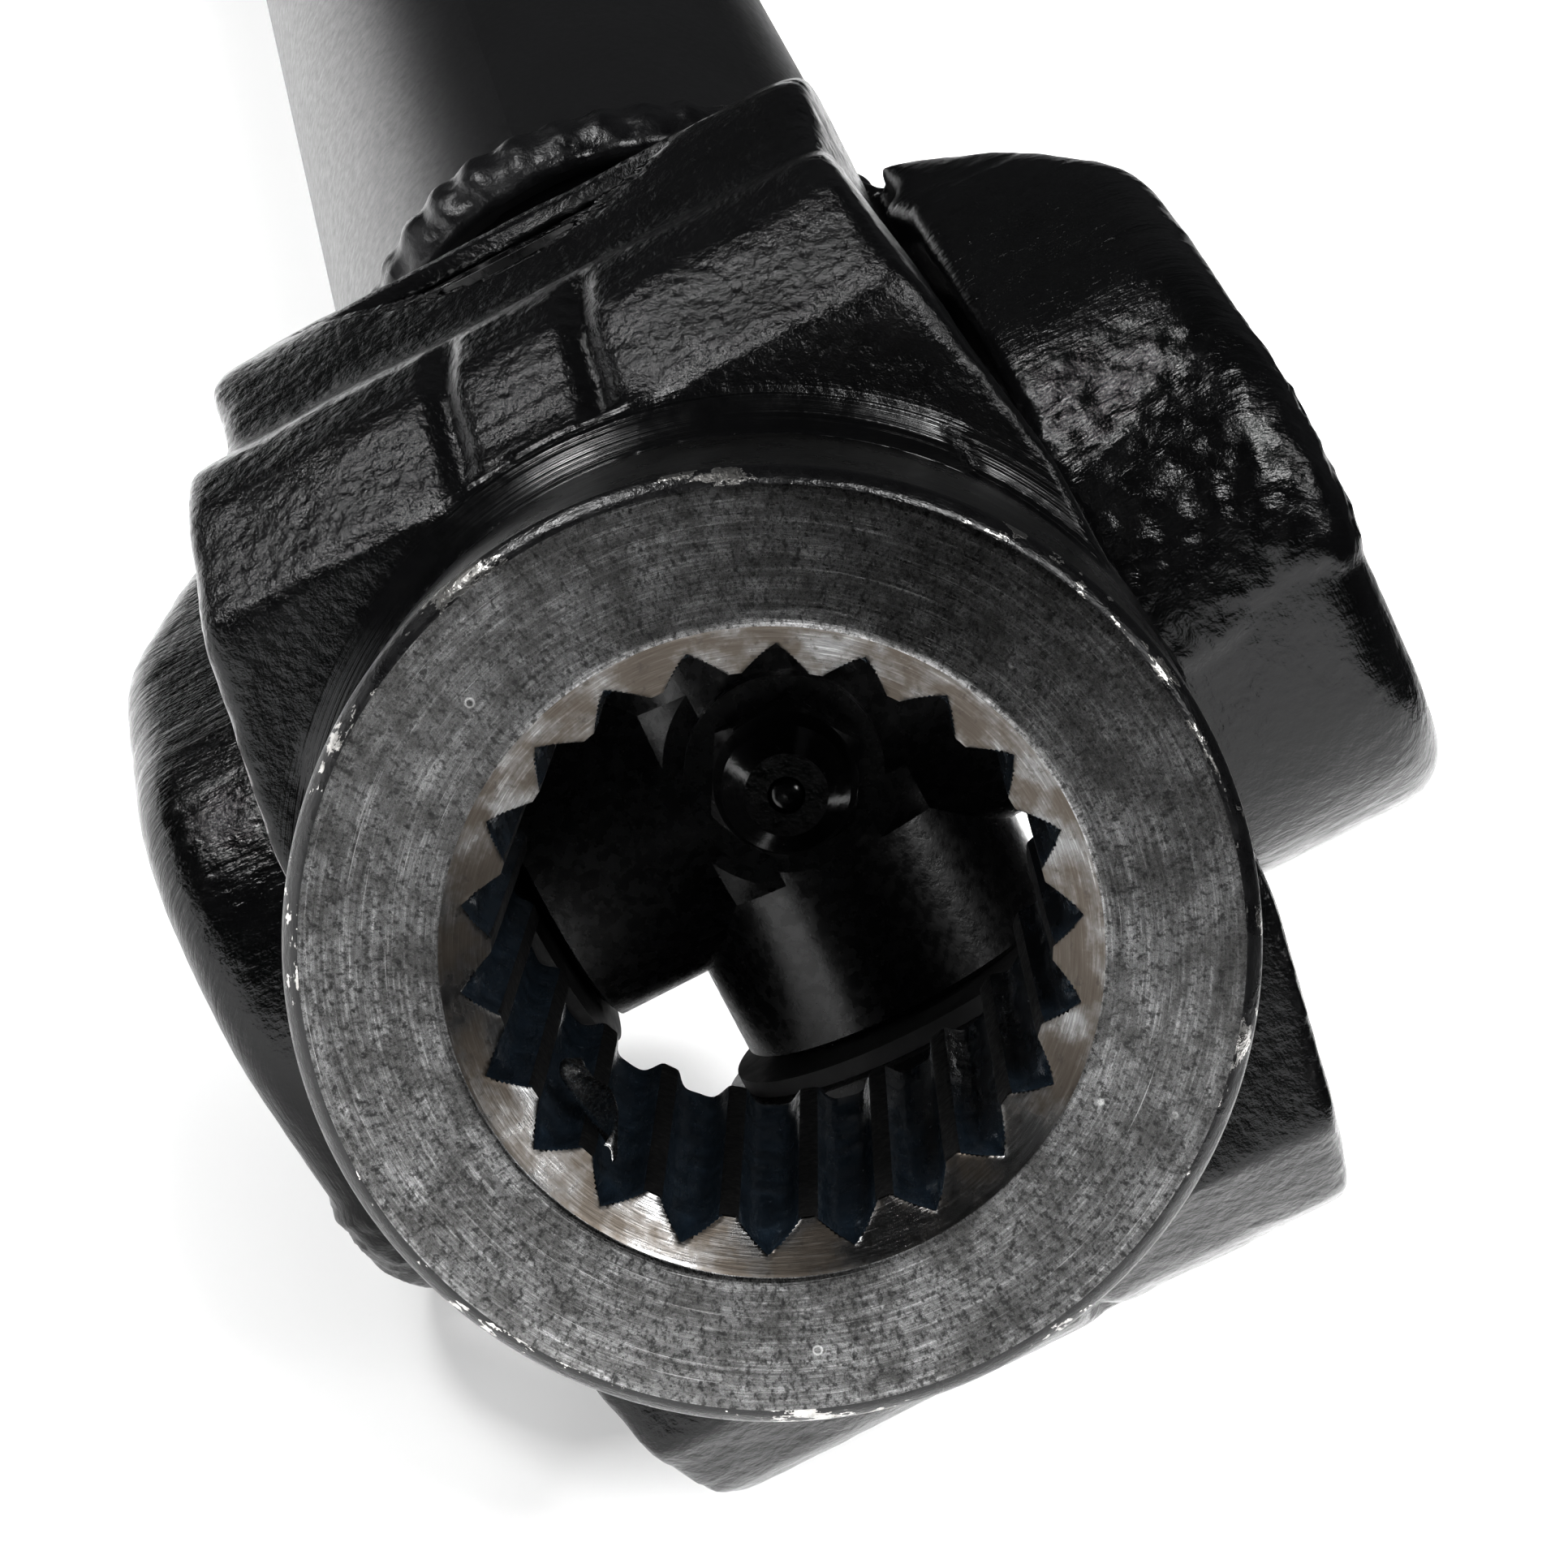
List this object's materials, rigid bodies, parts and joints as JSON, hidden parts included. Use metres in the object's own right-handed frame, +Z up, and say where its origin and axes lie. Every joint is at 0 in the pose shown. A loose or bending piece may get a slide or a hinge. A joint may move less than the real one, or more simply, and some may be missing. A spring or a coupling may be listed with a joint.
{
  "type": "universal joint shaft",
  "caption": "Black painted cardan shaft: welded drive tube with a universal joint at each end and splined outer yokes, shown with the joints bent.",
  "frame": {"origin": "middle of the whole shaft, on the surface that it lies on", "axes": "+X along the drive tube towards the front joint, +Z up from the surface, +Y across"},
  "size_m": [0.3668, 0.069, 0.0669],
  "materials": {
    "black_paint": "gloss",
    "forged_yoke": "gloss",
    "bearing_steel": "satin",
    "spring_steel": "satin",
    "plated_steel": "satin",
    "seal_rubber": "matte"
  },
  "bodies": {
    "shaft": {"drive_tube": "black_paint", "front_tube_left_bearing_cup": "bearing_steel", "front_tube_left_cup_seal": "seal_rubber", "front_tube_left_needle_rollers": "bearing_steel", "front_tube_left_snap_ring": "spring_steel", "front_tube_right_bearing_cup": "bearing_steel", "front_tube_right_cup_seal": "seal_rubber", "front_tube_right_needle_rollers": "bearing_steel", "front_tube_right_snap_ring": "spring_steel", "front_tube_yoke": "black_paint", "front_weld_bead": "black_paint", "rear_tube_left_bearing_cup": "bearing_steel", "rear_tube_left_cup_seal": "seal_rubber", "rear_tube_left_needle_rollers": "bearing_steel", "rear_tube_left_snap_ring": "spring_steel", "rear_tube_right_bearing_cup": "bearing_steel", "rear_tube_right_cup_seal": "seal_rubber", "rear_tube_right_needle_rollers": "bearing_steel", "rear_tube_right_snap_ring": "spring_steel", "rear_tube_yoke": "black_paint", "rear_weld_bead": "black_paint"},
    "front_spider": {"front_cross": "bearing_steel", "front_grease_nipple": "plated_steel"},
    "front_end_fork": {"front_splined_yoke": "forged_yoke", "front_yoke_lower_bearing_cup": "bearing_steel", "front_yoke_lower_cup_seal": "seal_rubber", "front_yoke_lower_needle_rollers": "bearing_steel", "front_yoke_lower_snap_ring": "spring_steel", "front_yoke_upper_bearing_cup": "bearing_steel", "front_yoke_upper_cup_seal": "seal_rubber", "front_yoke_upper_needle_rollers": "bearing_steel", "front_yoke_upper_snap_ring": "spring_steel"},
    "rear_spider": {"rear_cross": "bearing_steel", "rear_grease_nipple": "plated_steel"},
    "rear_end_fork": {"rear_splined_yoke": "forged_yoke", "rear_yoke_lower_bearing_cup": "bearing_steel", "rear_yoke_lower_cup_seal": "seal_rubber", "rear_yoke_lower_needle_rollers": "bearing_steel", "rear_yoke_lower_snap_ring": "spring_steel", "rear_yoke_upper_bearing_cup": "bearing_steel", "rear_yoke_upper_cup_seal": "seal_rubber", "rear_yoke_upper_needle_rollers": "bearing_steel", "rear_yoke_upper_snap_ring": "spring_steel"}
  },
  "joints": [
    {"name": "front_spider_swing", "type": "hinge", "parent": "shaft", "child": "front_spider", "pos_m": [0.13, 0.00191, 0.03182], "axis": [0, -0.6811, -0.7322], "range_deg": [-46.2, 3.8]},
    {"name": "front_fork_swing", "type": "hinge", "parent": "front_spider", "child": "front_end_fork", "pos_m": [0.13, 0.00191, 0.03182], "axis": [-0.3616, -0.6826, 0.635], "range_deg": [-23.6, 26.4]},
    {"name": "rear_spider_swing", "type": "hinge", "parent": "shaft", "child": "rear_spider", "pos_m": [-0.13, 0.00191, 0.03182], "axis": [0, 0.6811, 0.7322], "range_deg": [-46.2, 3.8]},
    {"name": "rear_fork_swing", "type": "hinge", "parent": "rear_spider", "child": "rear_end_fork", "pos_m": [-0.13, 0.00191, 0.03182], "axis": [0.3616, -0.6826, 0.635], "range_deg": [-25, 25]}
  ]
}
